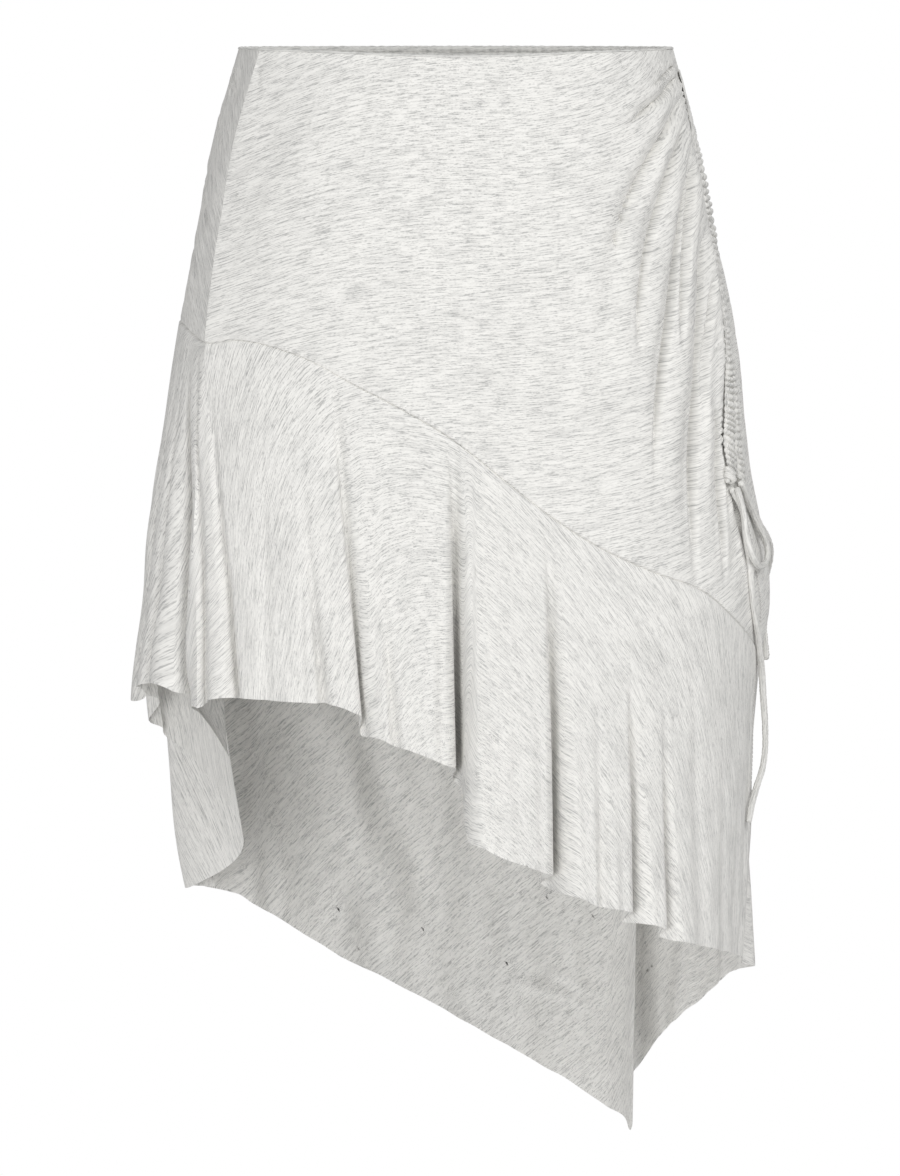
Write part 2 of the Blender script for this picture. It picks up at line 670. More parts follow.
def flounce_angle(station, share):
    """The grain follows the folds: the angle at a share of the way down, for a place at the hem."""
    seam = round_rows(station, *zip(*hem_to_seam), turned=TURN)
    return lerp(seam, station, share)


def bell(x):
    return 1 - smoothstep(np.abs(x), 0, 1)


def turn_between(start, end):
    return np.mod(end - start + TURN / 2, TURN) - TURN / 2


print("hem from", round(float(hem_drop(-54.0))), "to", round(float(hem_drop(138.0))), "mm below the waist")

# %% [markdown]
# A fold is a trough that grows from the seam to the hem. It draws the cloth inwards, leans, and pinches
# its rim together, so deep folds overhang. A crease is a shorter trough on a bent line, with a low ridge on
# each side. The plain side's seam stands a little out, as a pressed edge does.

# %% Folds, creases and seams
def fold_place(angle, share, fold):
    """Where points lie across a fold, in half widths from its middle, and how far it has grown there."""
    growth = np.maximum((share - fold["start"]) / (1 - fold["start"]), 0) ** GROWTH
    half = fold["half"] * lerp(NARROW, 1, growth)
    middle = lerp(fold["seam"], fold["hem"], share)
    return turn_between(middle, angle) * fold["degree"] / half, growth


def trough(x):
    """A fold's trough on its low wide shoulder."""
    return bell(x) + SHOULDER["depth"] * bell(x / SHOULDER["width"])


def fold_move(angle, share):
    """How far the flounce's folds move the cloth inwards and round the skirt."""
    inwards, around = np.zeros_like(angle), np.zeros_like(angle)
    for fold in folds:
        x, growth = fold_place(angle, share, fold)
        inwards += fold["depth"] * growth * trough(x)
        around += fold["lean"] * growth * bell(x)
        near = np.minimum(np.abs(x), 1)
        around -= np.sign(x) * fold["pinch"] * growth * np.sin(np.pi * near**PINCH_POWER) ** 2
    return inwards, around


def crease_move(angle, drop, rows, lasting=0.45):
    """How far creases move the cloth inwards. They fade out past a share of their length, lasting."""
    inwards = np.zeros_like(angle)
    for crease in rows:
        fall = crease["to_drop"] - crease["drop"]
        way = (drop - crease["drop"]) / fall
        inside = np.clip(way, 0, 1)
        turn = crease["angle"] - crease["to_angle"]
        middle = crease["to_angle"] + turn * (1 - inside) ** crease["sweep"]
        bend = crease["sweep"] * np.maximum(1 - inside, 1e-3) ** (crease["sweep"] - 1)
        lean = CREASE_SCALE * turn * bend / fall
        x = turn_between(middle, angle) * CREASE_SCALE / np.hypot(1, lean) / crease["half"]
        strength = smoothstep(inside, 0, CREASE_START) * (1 - smoothstep(inside, lasting, 1))
        across = (1 - x * x) * np.exp(-x * x)
        inwards += np.where((way > 0) & (way < 1), crease["depth"] * strength * across, 0)
    return inwards


def plain_seam(level):
    return through_rows(np.minimum(level, 1), SIDE_SEAMS["level"], SIDE_SEAMS["plain"])


def tied_seam(level):
    return through_rows(np.minimum(level, 1), SIDE_SEAMS["level"], SIDE_SEAMS["tied"])


def edge_height(angle, level, drop):
    """How far the plain side's seam stands out."""
    seam = plain_seam(level)
    x = np.abs(turn_between(seam, angle)) * degree_length(seam, drop) / EDGE["half"]
    left = 1 - smoothstep(level - 1, 0, EDGE["fade"])
    return np.where(x < 1, EDGE["height"] * left * np.maximum(1 - x, 0) ** EDGE["power"], 0)


creases = table(CREASES, CREASE_COLUMNS)
print("side seams start at", float(plain_seam(0.0)), "and", float(tied_seam(0.0)), "degrees")

# %% [markdown]
# All of it comes together in one function. It starts on the smooth ring, moves inwards and round by the
# folds and creases, and can add a finer relief. From it come the way out of the cloth and any point off it.

# %% The cloth
def cloth(angle, level, relief=None):
    """Point of the cloth's outer face, with finer relief moved inwards where it is given."""
    angle, level = np.broadcast_arrays(np.asarray(angle, float), np.asarray(level, float))
    share = np.clip(level - 1, 0, 1)
    drop = drop_at(angle, level)
    at = ring(angle, drop)
    around = ring(angle + 0.5, drop) - ring(angle - 0.5, drop)
    around /= np.linalg.norm(around, axis=-1)[..., None]
    inwards, sideways = fold_move(angle, share)
    inwards = inwards + crease_move(angle, drop, creases) - edge_height(angle, level, drop)
    if relief is not None:
        inwards = inwards + relief(angle, level, drop)
    return np.stack(
        [
            at[..., 0] + around[..., 0] * sideways - around[..., 1] * inwards,
            at[..., 1] + around[..., 1] * sideways + around[..., 0] * inwards,
            -drop,
        ],
        axis=-1,
    )


STEP = {"angle": 0.4, "level": 0.002}


def out_of(angle, level, relief=None):
    """The way out of the cloth at a point."""
    around = cloth(angle + STEP["angle"], level, relief) - cloth(angle - STEP["angle"], level, relief)
    down = cloth(angle, level + STEP["level"], relief) - cloth(angle, level - STEP["level"], relief)
    out = np.cross(down, around)
    return out / np.linalg.norm(out, axis=-1)[..., None]


def off_cloth(angle, level, depth, relief=None):
    return cloth(angle, level, relief) + out_of(angle, level, relief) * np.asarray(depth)[..., None]


print("front middle of the seam at", cloth(0.0, 1.0).round().tolist(), "mm")

# %% [markdown]
# Cloth that is worn is never smooth. Between the large folds lie small ones: short gathers under the
# waist's elastic, crinkles where the plain side wraps round, fine wrinkles that spread from the pulled
# cord, faint flutes in the flounce, and a slow unevenness all over. They are troughs and ridges of named
# places and sizes too, as uneven as in the photograph, with similar ones on the sides that it hides.

# %% Tables of the fine relief
FINE_CREASES = [
    # under the waist, in front
    (-67, 7, -64.8, 34, 1, 2.2, 0.9), (-59.7, 9, -58.2, 30, 1, 2.0, 0.8), (-52, 7, -49.2, 24, 1, 1.8, 0.7),
    (-40, 6, -38.5, 20, 1, 1.6, 0.4), (-22, 6, -21.4, 22, 1, 1.8, 0.4), (3, 6, 3.4, 18, 1, 1.6, 0.35),
    (20, 6, 20.6, 20, 1, 1.6, 0.4), (34.5, 6, 35.2, 20, 1, 1.8, 0.7), (49.2, 7, 50.3, 16, 1, 1.6, 0.7),
    (55, 8, 62.5, 17, 1, 1.8, 0.9), (70, 5, 71, 16, 1, 1.8, 0.8),
    # under the waist, behind
    (104, 6, 106, 30, 1, 2.2, 0.9), (121, 7, 122.5, 36, 1, 2.2, 0.8), (139, 6, 140, 26, 1, 2, 0.7),
    (158, 7, 158.6, 34, 1, 2.2, 0.8), (176, 6, 176.3, 24, 1, 1.8, 0.6), (196, 7, 195.2, 36, 1, 2.2, 0.8),
    (213, 6, 211.6, 28, 1, 2, 0.8), (229, 7, 227.2, 38, 1, 2.2, 0.9), (247, 6, 246, 30, 1, 2.2, 0.8),
    (263, 7, 264.5, 40, 1, 2.2, 1.1), (278, 8, 280.5, 34, 1, 2, 1.0),
    # crinkles of the wrapped plain side
    (-104, 18, -76, 66, 1, 3.2, 2.1), (-110, 40, -80, 98, 1, 3.6, 2.2), (-98, 66, -74, 118, 1, 3.2, 1.9),
    (-116, 74, -84, 142, 1, 4.4, 2.0), (-96, 108, -74, 158, 1, 3.8, 1.7), (-112, 122, -82, 182, 1, 4.6, 1.7),
    (-84, 12, -72, 40, 1, 2.4, 1.7), (-90, 88, -71.5, 128, 1.2, 2.8, 1.6), (-122, 20, -104, 70, 1, 4.4, 1.5),
    (-92, 6, -76, 34, 1, 2.0, 1.6), (-86, 36, -73, 74, 1, 2.4, 1.6), (-88, 140, -73, 190, 1, 3.4, 1.3),
    # long sharp creases in the bottoms of the soft ones, in front
    (80, 8, 63.5, 26, 1.1, 1.9, 4.4), (80, 16, 51, 56, 1.1, 2.0, 5.0), (79, 28, 43.5, 180, 2.2, 2.3, 5.8),
    (78, 42, 49, 220, 2.2, 2.3, 5.8), (78, 58, 51, 310, 2, 2.4, 6.2), (77, 73, 59.5, 210, 1.5, 2.4, 5.8),
    (76, 117, 58.5, 380, 2.2, 2.6, 6.2), (68, 240, 65, 370, 1, 2.4, 4.4),
    (75.5, 150, 64, 260, 1.8, 2.2, 4.0), (74, 180, 68, 330, 1.3, 2.4, 4.8),
    # and the softer shade beside them
    (80, 14, 52, 52, 1.1, 6, 1.8), (79, 28, 43.5, 180, 2.2, 7, 2.2), (78, 42, 49, 220, 2.2, 7, 2.2),
    (78, 58, 51, 310, 2, 7, 2.6), (76, 117, 58.5, 380, 2.2, 8, 2.6),
    # small drags beside the gathered side, in front
    (79, 12, 66, 30, 1.3, 2.2, 0.6), (78.5, 21, 62, 62, 1.4, 3, 0.7), (77.5, 34, 63, 84, 1.6, 3.4, 0.7),
    (77, 50, 66, 108, 1.6, 3.4, 0.7), (76, 88, 66, 170, 1.8, 3.4, 0.7), (75.5, 104, 64.5, 214, 1.8, 4, 0.8),
    (75, 132, 66, 250, 1.7, 4, 0.8), (73.5, 160, 66, 270, 1.6, 4, 0.8), (71, 196, 65.6, 300, 1.5, 4, 0.8),
    (72, 292, 66.4, 372, 1, 5, 1.0), (60, 230, 55, 345, 1, 8, 1.2), (46, 120, 38, 300, 1.2, 12, 1.4),
    # and behind
    (92, 24, 108, 74, 1.6, 4, 1.6), (92, 44, 112, 122, 1.8, 5, 1.8), (91, 78, 108, 196, 1.8, 5, 1.8),
    (90, 130, 104, 262, 1.8, 5, 1.7), (88, 170, 100, 318, 1.7, 5, 1.6), (87, 212, 96, 356, 1.5, 5, 1.4),
    # soft drags across the seat
    (128, 120, 176, 168, 1, 16, 1.3), (150, 190, 118, 300, 1.2, 16, 1.4), (224, 96, 186, 150, 1, 16, 1.2),
]
FLUTE_COLUMNS = ("seam", "hem", "half", "depth", "start")
FLUTES = [
    # faint flutes between the flounce's folds
    (-43.5, -40, 5, 1.6, 0.15), (-53, -47.5, 8, 2.4, 0.2), (-14, -11, 14, 2.4, 0.2),
    (-24.6, -22.6, 5, 1.4, 0.6), (-7, -5, 6, 3.2, 0.35), (13.5, 16.5, 10, 2.8, 0.1),
    (19.5, 22, 6, 1.8, 0.4), (31, 33, 7, 2.2, 0.3), (39.5, 41, 5, 1.6, 0.5), (57, 60.5, 12, 3.4, 0.15),
    (64, 68, 9, 2.2, 0.3), (70, 74, 8, 2.0, 0.2), (90, 94, 12, 1.6, 0.2), (112, 115, 10, 1.0, 0.2),
    (127, 130, 9, 1.4, 0.3), (146, 149, 18, 2.0, 0.2), (172, 173, 18, 1.6, 0.3),
    (196, 197, 18, 2.0, 0.25), (224, 223, 12, 1.6, 0.2), (257, 252, 12, 3.0, 0.2),
    (92, 97, 13, -9.0, 0.35),
    # the small tubes of the cascade on the plain side
    (-81, -92, 6, 6.0, 0.05), (-75, -76, 6, 6.0, 0.05), (-94, -116, 8, 7.0, 0.3),
    (-88, -103, 6, 6.0, 0.3),
]
FLOUNCE_CREASES = [
    # the soft slanting fold that shows inside the back, and small wrinkles near its hem
    (233, 340, 188, 690, 1, 18, 7.5), (164, 672, 144, 694, 1, 5, 1.8), (158, 662, 142, 686, 1, 5, 1.5),
    (151, 636, 149.5, 690, 1, 5, 1.8),
]
SWELLS = [
    # slow unevenness all over: height, waves round the skirt, waves for each metre down, start
    (0.55, 5, 3.1, 0.4), (0.45, 9, -4.7, 1.9), (0.32, 16, 6.3, 2.7), (0.22, 27, -9.1, 0.9),
    (0.14, 41, 14.0, 4.1),
]
FLOUNCE_SWELL = {"times": 1.5, "grown": 0.4}
GATHERS = {
    "height": 1.7, "even": 0.55, "spread": 8.0, "pitch": 5.2, "slope": 0.45, "skew": 0.15, "under": -2.5,
    "reach": 60, "near_fade": 1.6, "far_fade": 0.7, "far": 0.9, "far_wobble": 0.6,
    "starts": 0.03, "ends": (-0.01, 0.02),
}
# waves: height, pace, start, and how much the side adds to the start
GATHER_WOBBLE = ((1.3, 0.23, 0, 1), (0.9, 0.071, 2, 0))
GATHER_UNEVEN = ((0.45, 0.11, 0, 1.2),)
RECESS = {
    "deep": 3.2, "width": 1.6, "beside": 1.0, "ridge": 1.8, "ridge_width": 4.0, "ridge_beside": 7.0,
    "even": 0.75, "starts": (0.12, 0.4), "ends": (0.9, 1),
}
RECESS_UNEVEN = ((0.25, 0.031, 1, 0),)
LASTING = {"fine": 0.62, "flounce": 0.55}
SEAM_ROLL = {"depth": 2.1, "width": 0.95, "plain": 0.06, "tied": 0.32}
CASING = {"width": 13, "from_seam": 0.8, "top": 0.035, "bottom": 0.729, "ridges": 60}

fine_creases = table(FINE_CREASES, CREASE_COLUMNS)
flounce_creases = table(FLOUNCE_CREASES, CREASE_COLUMNS)
flutes = table(FLUTES, FLUTE_COLUMNS)
for flute in flutes:
    hem = np.array(flute["hem"], float)
    flute["degree"] = float(degree_length(hem, hem_drop(hem)))
print(len(fine_creases), "fine creases,", len(flutes), "flutes,", len(SWELLS), "swells")

# %% [markdown]
# These functions turn the tables into relief. The gathers are cosine waves down the seam whose crests
# merge in pairs as they fade, the recess and its ridge are bell curves beside the channel, and a soft
# groove lies along each sewn edge.

# %% Fine relief
def waves(x, rows, side=0):
    """A sum of waves along x."""
    return sum(high * np.sin(x * pace + start + side * shift) for high, pace, start, shift in rows)


def swell_move(angle, drop):
    move = np.zeros_like(drop)
    turn = np.radians(angle)
    for high, round_waves, down_waves, start in SWELLS:
        move += high * np.sin(round_waves * turn + 2 * np.pi * down_waves * drop * MM + start)
    return move


def flute_move(angle, share):
    """How far the flutes move the cloth inwards."""
    inwards = np.zeros_like(angle)
    for flute in flutes:
        x, growth = fold_place(angle, share, flute)
        inwards += flute["depth"] * growth * trough(x)
    return inwards


def gather_move(angle, level, drop):
    """Fine wrinkles that spread from the two channels and merge as they fade."""
    seam = tied_seam(level)
    away = turn_between(seam, angle) * degree_length(seam, drop)
    side = np.sign(away)
    past = np.abs(away) - CASING["from_seam"] - CASING["width"]
    down = drop - GATHERS["slope"] * np.maximum(past, 0) * (1 + GATHERS["skew"] * side)
    wobble = waves(down, GATHER_WOBBLE, side)
    near = np.cos(2 * np.pi * down / GATHERS["pitch"] + wobble)
    far = np.cos(np.pi * down / GATHERS["pitch"] + GATHERS["far_wobble"] * wobble)
    uneven = GATHERS["even"] + waves(down, GATHER_UNEVEN, side)
    fade = np.exp(-np.maximum(past, 0) / GATHERS["spread"]) * smoothstep(past, GATHERS["under"], 0)
    close, wide = fade ** GATHERS["near_fade"], fade ** GATHERS["far_fade"]
    wave = near * close + GATHERS["far"] * far * (wide - close)
    low, high = (CASING["bottom"] + step for step in GATHERS["ends"])
    along = smoothstep(level, CASING["top"], CASING["top"] + GATHERS["starts"])
    along = along * (1 - smoothstep(level, low, high))
    return -GATHERS["height"] * uneven * wave * along * (np.abs(past) < GATHERS["reach"])


def recess_move(angle, level, drop):
    """The channel's front edge lies in a recess, and the cloth beside it stands up in a soft ridge."""
    seam = tied_seam(level)
    past = -turn_between(seam, angle) * degree_length(seam, drop) - CASING["from_seam"] - CASING["width"]
    groove = np.exp(-(((past - RECESS["beside"]) / RECESS["width"]) ** 2))
    ridge = np.exp(-(((past - RECESS["ridge_beside"]) / RECESS["ridge_width"]) ** 2))
    uneven = RECESS["even"] + waves(drop, RECESS_UNEVEN)
    along = smoothstep(level, *RECESS["starts"]) * (1 - smoothstep(level, *RECESS["ends"]))
    return along * uneven * (RECESS["deep"] * groove - RECESS["ridge"] * ridge)


def roll(distance):
    """The soft groove that a sewn edge makes."""
    return SEAM_ROLL["depth"] * np.exp(-((distance / SEAM_ROLL["width"]) ** 2))


def upper_relief(angle, level, drop):
    move = crease_move(angle, drop, fine_creases, LASTING["fine"]) + swell_move(angle, drop)
    move += gather_move(angle, level, drop) + recess_move(angle, level, drop)
    move += roll((1 - level) * (seam_drop(angle) - waist_drop(angle)))
    for side, seam in (("plain", plain_seam(level)), ("tied", tied_seam(level))):
        move += SEAM_ROLL[side] * roll(turn_between(seam, angle) * degree_length(seam, drop))
    return move


def flounce_relief(angle, level, drop):
    share = np.clip(level - 1, 0, 1)
    move = flute_move(angle, share) + crease_move(angle, drop, flounce_creases, LASTING["flounce"])
    grown = smoothstep(share, 0, FLOUNCE_SWELL["grown"])
    move += FLOUNCE_SWELL["times"] * swell_move(angle, drop) * grown
    return move + roll(share * (hem_drop(angle) - seam_drop(angle)))


print("gathers up to", GATHERS["height"], "mm high, seams pressed", SEAM_ROLL["depth"], "mm in")

# %% [markdown]
# Each panel is one grid between its two side seams. Its columns are spread evenly by the length of the
# cloth, folds and all, so that deep folds are as fine as flat stretches. The flat cut that the grain
# follows is a rectangle for the upper panels, with the courses pulled up towards the gathered side, and
# a ring's sector for the flounces, because a circular flounce is cut so.

# %% Cut and grain
UPPER_CUT_RADIUS = 190
# a flounce's cut: the radius of its seam edge, and how far the grain is turned where its seam starts
FRONT_CUT = {"seam_radius": 172, "turn": -1.285}
BACK_CUT = {"seam_radius": 1880, "turn": 0.66}
# the back's deep folds, where the cut widens towards the hem by what they take up, and a place between
# them where the grain keeps its way
DEEP_FOLDS = ((122, 147), (243, 306))
KEPT_STRAIGHT = 190
GRAIN_CLIMB = {
    # how steeply the courses of the upper panels climb round the skirt, as a slope
    "angle": (-75, -66, -50, -25, 0, 25, 45, 60, 72, 86, 110, 150, 200, 238, 260, 285),
    "slope": (-0.9, 0.35, 0.28, 0.12, 0.03, 0.08, 0.22, 0.42, 0.8, 0.2, -0.4, -0.1, 0.1, -0.5, -0.8, -0.9),
}
SAMPLES = 2400
FINER = [
    # where the columns lie closer: angle, within, fade, times
    (78, 12, 34, 5.0),
    (-88, 16, 34, 2.5),
]
FINER_TAIL = [(-110, 5, 9, 1.0)]
# rows lie closer at the flounce's seam: shares of the rows, and the shares of the way down they reach
UPPER_ROWS = ((0, 0.955, 1), (0, 0.98, 1))
FLOUNCE_ROWS = ((0, 0.07, 1), (0, 0.03, 1))
CLIMB = {"drop": 180.0, "from": -80, "to": 300}
RIM_ANGLE = math.radians(50)
SHELL = 1.1


def spread_evenly(start, end, level, columns, relief, finer=()):
    """Shares from start to end that part the cloth at a level evenly, or more finely where it is told to."""
    shares = np.linspace(0, 1, SAMPLES + 1)
    angles = lerp(start, end, shares)
    line = cloth(angles, np.full(SAMPLES + 1, float(level)), relief)
    closer = np.ones(SAMPLES)
    for angle, within, fade, times in finer:
        closer += times * (1 - smoothstep(np.abs(turn_between(angle, angles[1:])), within, fade))
    steps = np.linalg.norm(np.diff(line, axis=0), axis=1) * closer
    along = np.r_[0, np.cumsum(steps)]
    return np.interp(np.linspace(0, along[-1], columns + 1), along, shares)


def shell(grid, thickness=SHELL):
    """Give a bent grid the thickness of the cloth, inwards from its outer face, with crisp cut edges."""
    bmesh.ops.solidify(grid, geom=grid.faces[:], thickness=thickness * MM)
    bmesh.ops.recalc_face_normals(grid, faces=grid.faces[:])
    for edge in grid.edges:
        edge.smooth = edge.calc_face_angle(0.0) < RIM_ANGLE
    return grid


def climb_at(angle):
    """The courses' lift at an angle, in millimetres: the slope summed round the skirt."""
    stations = np.arange(CLIMB["from"], CLIMB["to"], 1.0)
    step = degree_length(stations, np.full_like(stations, CLIMB["drop"]))
    lift = np.cumsum(np.interp(stations, GRAIN_CLIMB["angle"], GRAIN_CLIMB["slope"]) * step)
    return np.interp(angle, stations, lift)


print("columns spread on", SAMPLES, "samples, cloth", SHELL, "mm thick")

# %% [markdown]
# The four panels follow. Those of the flounces are cut from rings of their own radius, and the back one
# widens towards the hem by what its deep folds take up.

# %% Panels
def upper_panel(name, start, end, finish, solid, columns, rows):
    shares = spread_evenly(start(1.0), end(1.0), 1.0, columns, None, FINER)

    def where(across, down):
        share = shares[np.round(across * columns).astype(int)]
        level = np.interp(down, *UPPER_ROWS)
        return lerp(start(level), end(level), share), level

    def place(across, down):
        angle, level = where(across, down)
        return cloth(angle, level, upper_relief)

    def flat(across, down):
        angle, level = where(across, down)
        lift = drop_at(angle, level) + climb_at(angle)
        return np.stack([np.radians(angle) * UPPER_CUT_RADIUS, lift], axis=1)

    return finish_piece(name, shell(bent_grid(columns, rows, place, flat)), finish, solid)


def flounce_panel(name, start, end, cut, solid, columns, rows):
    shares = spread_evenly(start, end, 2, columns, flounce_relief, FINER_TAIL)
    stations = lerp(start, end, shares)
    seam_along = along_line(cloth(flounce_angle(stations, 0.0), np.full(columns + 1, 1.0)))
    folded = along_line(cloth(stations, np.full(columns + 1, 2.0), flounce_relief))
    smooth = along_line(ring(stations, hem_drop(stations)))
    deep = sum((stations > low) & (stations < high) for low, high in DEEP_FOLDS)
    extra = np.r_[0, np.cumsum(np.diff(folded - smooth) * deep[1:])]
    extra -= np.interp(KEPT_STRAIGHT, stations, extra)

    def where(across, down):
        return np.round(across * columns).astype(int), np.interp(down, *FLOUNCE_ROWS)

    def place(across, down):
        column, share = where(across, down)
        return cloth(flounce_angle(stations[column], share), 1 + share, flounce_relief)

    def flat(across, down):
        column, share = where(across, down)
        length = hem_drop(stations[column]) - seam_drop(flounce_angle(stations[column], 0.0))
        radius = cut["seam_radius"] + share * length
        turn = cut["turn"] + (seam_along[column] + extra[column] * down) / cut["seam_radius"]
        return np.stack([radius * np.sin(turn), -radius * np.cos(turn)], axis=1)

    return finish_piece(name, shell(bent_grid(columns, rows, place, flat)), CLOTH, solid)


def plain_seam_behind(level):
    return plain_seam(level) + TURN


plain_hem, tied_hem = FLOUNCE_SIDES["plain_hem"], FLOUNCE_SIDES["tied_hem"]
front_panel = upper_panel(
    "front_panel_cloth", plain_seam, tied_seam, CLOTH, "front_panel", columns=162, rows=300
)
back_panel = upper_panel(
    "back_panel_cloth", tied_seam, plain_seam_behind, SIDE_CLOTH, "back_panel", columns=200, rows=242
)
front_flounce = flounce_panel(
    "front_flounce_cloth", plain_hem, tied_hem, FRONT_CUT, "front_flounce", columns=340, rows=140
)
back_flounce = flounce_panel(
    "back_flounce_cloth", tied_hem, plain_hem + TURN, BACK_CUT, "back_flounce", columns=380, rows=128
)
for piece in (front_panel, back_panel, front_flounce, back_flounce):
    print(piece.name, "faces", len(piece.data.polygons))

# %% [markdown]
# The top of a pull-on skirt is turned in over elastic. From the front one sees the rounded fold, and
# inside the back the turned strip with its row of stitches. The strip is a grid wrapped once round: it
# starts at the cloth's outer face, goes over the fold and down inside, and the elastic ripples it.

# %% Turned waist
TURNING = {
    "deep": 10.5, "rise": 1.3, "inside": 2.9, "start": -0.15, "over": 0.3, "thick": 0.7,
    "ripple": 0.32, "edge_ripple": 0.12, "row": 2.7, "row_deep": 1.2, "row_width": 0.8,
    "rippled": (0.1, 0.4), "around": 850, "wide": 16, "columns": 900, "rows": 18,
}
# the elastic's ripples: height, how many, how far they wander, how often
RIPPLES = ((1, 118, 1.6, 9), (0.7, 71, 2, 5))


def waist_place(across, down):
    angle = across * TURN
    over = np.clip(down / TURNING["over"], 0, 1)
    below = TURNING["deep"] * np.clip((down - TURNING["over"]) / (1 - TURNING["over"]), 0, 1)
    middle = (TURNING["start"] - TURNING["inside"]) / 2
    half = (TURNING["start"] + TURNING["inside"]) / 2
    turn = np.radians(angle)
    ripple = sum(
        high * np.sin(count * turn + far * np.sin(often * turn)) for high, count, far, often in RIPPLES
    )
    row = np.exp(-(((below - TURNING["row"]) / TURNING["row_width"]) ** 2)) * (over == 1)
    depth = middle + half * np.cos(np.pi * over) + TURNING["row_deep"] * row
    depth += TURNING["ripple"] * ripple * smoothstep(down, *TURNING["rippled"])
    level = np.zeros_like(angle)
    point = cloth(angle, level, upper_relief) + out_of(angle, level) * depth[:, None]
    rise = TURNING["rise"] + TURNING["edge_ripple"] * ripple
    point[:, 2] += rise * np.sin(np.pi * over) - below
    return point


def waist_flat(across, down):
    return np.stack([across * TURNING["around"], down * TURNING["wide"]], axis=1)


strip = bent_grid(TURNING["columns"], TURNING["rows"], waist_place, waist_flat, WELD)
finish_piece("turned_waist", shell(strip, TURNING["thick"]), INSIDE, "waist_turning")
print("waist turned in by", TURNING["deep"], "mm")

# %% [markdown]
# Two channels of doubled cloth run beside the tied side's seam. The cord in them pulls the cloth
# together, so each channel is a row of small puffs parted by sharp gathers, none quite like the next.
# The height of a puff is the absolute value of a sine, which has just such cusps, and slow waves shift
# and scale it.

# %% Gathered channels
PUFF = {
    "edge": 0.35, "high": 3.9, "even": 0.8, "cusp": 0.8, "tilt": 0.9, "tilt_pace": 0.045, "waist": 0.14,
    "arch": 0.45, "crack": 0.12, "rise": 0.3, "fall": 0.992, "cut_length": 420, "thick": 0.5,
    "columns": 16, "rows": 11,
}
PUFF_WOBBLE = ((0.5, 0.31, 0, 1), (0.35, 0.117, 0, 2))
PUFF_UNEVEN = ((0.2, 0.071, 0, 3), (0.12, 0.53, 0, 0))


def channel_place(across, down, side):
    """A channel's point: side is -1 on the front panel and 1 on the back one."""
    level = lerp(CASING["top"], CASING["bottom"], down)
    seam = tied_seam(level)
    run = down * CASING["ridges"] * np.pi
    tilt = PUFF["tilt"] * np.sin(np.pi * (across - 0.5)) * np.sin(run * PUFF["tilt_pace"] + side)
    puff = np.abs(np.sin(run + waves(run, PUFF_WOBBLE, side) + tilt)) ** PUFF["cusp"]
    uneven = PUFF["even"] + waves(run, PUFF_UNEVEN, side)
    arch = np.clip(4 * across * (1 - across), 0, 1) ** PUFF["arch"]
    narrow = 1 - PUFF["waist"] * (1 - puff)
    reach = CASING["from_seam"] + CASING["width"] * (0.5 + (across - 0.5) * narrow)
    angle = seam + side * reach / degree_length(seam, drop_at(seam, level))
    ends = smoothstep(down, 0, PUFF["rise"]) * (1 - smoothstep(down, PUFF["fall"], 1))
    high = PUFF["edge"] + PUFF["high"] * arch * (PUFF["crack"] + (1 - PUFF["crack"]) * puff * uneven) * ends
    return off_cloth(angle, level, high)


def channel(name, side, solid):
    def place(across, down):
        return channel_place(across, down, side)

    def flat(across, down):
        return np.stack([down * PUFF["cut_length"], across * CASING["width"]], axis=1)

    grid = bent_grid(PUFF["columns"], CASING["ridges"] * PUFF["rows"], place, flat)
    if side < 0:
        bmesh.ops.reverse_faces(grid, faces=grid.faces[:])
    print(name, CASING["ridges"], "puffs")
    return finish_piece(name, shell(grid, PUFF["thick"]), CLOTH, solid)


front_channel = channel("front_channel", -1, "front_casing")
back_channel = channel("back_channel", 1, "back_casing")

# %% [markdown]
# The knot is the same cord wound round itself. A real knot's path is hard to see, so this one is a
# short slanting helix of the cord, tight enough that its turns press together. Both it and the buttonhole
# stand at a place of the cloth, on three directions: along the cloth, up it and out of it.

# %% Knot
KNOT = {
    "angle": 68.8, "level": 0.746, "off": 4.3, "radius": 2.35, "wide": 1.12, "deep": 0.8, "pitch": 3.9,
    "turns": 2.55, "slant": 0.38, "taper": 0.35, "points": 90, "every": 6,
}


def stand_at(made):
    """A place off the cloth, and the directions along the cloth, up it and out of it there."""
    angle, level = np.array([made["angle"]]), np.array([made["level"]])
    place = off_cloth(angle, level, np.array([made["off"]]))[0]
    out = out_of(angle, level)[0]
    beside = np.cross(out, (0, 0, 1.0))
    beside /= np.linalg.norm(beside)
    return place, beside, np.cross(beside, out), out


def knot_path():
    place, beside, up, out = stand_at(KNOT)
    turn = np.linspace(-0.5, 0.5, KNOT["points"])
    angle = turn * KNOT["turns"] * 2 * np.pi
    taper = 1 - KNOT["taper"] * np.abs(2 * turn) ** 3
    x = KNOT["radius"] * KNOT["wide"] * np.cos(angle) * taper
    z = -turn * KNOT["turns"] * KNOT["pitch"] + KNOT["slant"] * x
    y = KNOT["radius"] * KNOT["deep"] * np.sin(angle) * taper
    return place + beside * x[:, None] + out * y[:, None] + up * z[:, None]


knot, _, _ = cord_run("knot_of_drawstring", knot_path()[::KNOT["every"]], "drawstring_knot", ribs=1.4)

# %% [markdown]
# The cord leaves its channel through a buttonhole: an oval of dense thread, worked round in short ribs.

# %% Buttonhole
BUTTONHOLE = {
    "angle": 70.6, "level": 0.7355, "off": 0.9, "wide": 4.4, "high": 1.7, "thread": 0.55, "ribs": 44,
    "relief": 0.16, "around": 22, "over": 3, "columns": 132, "rows": 10,
}


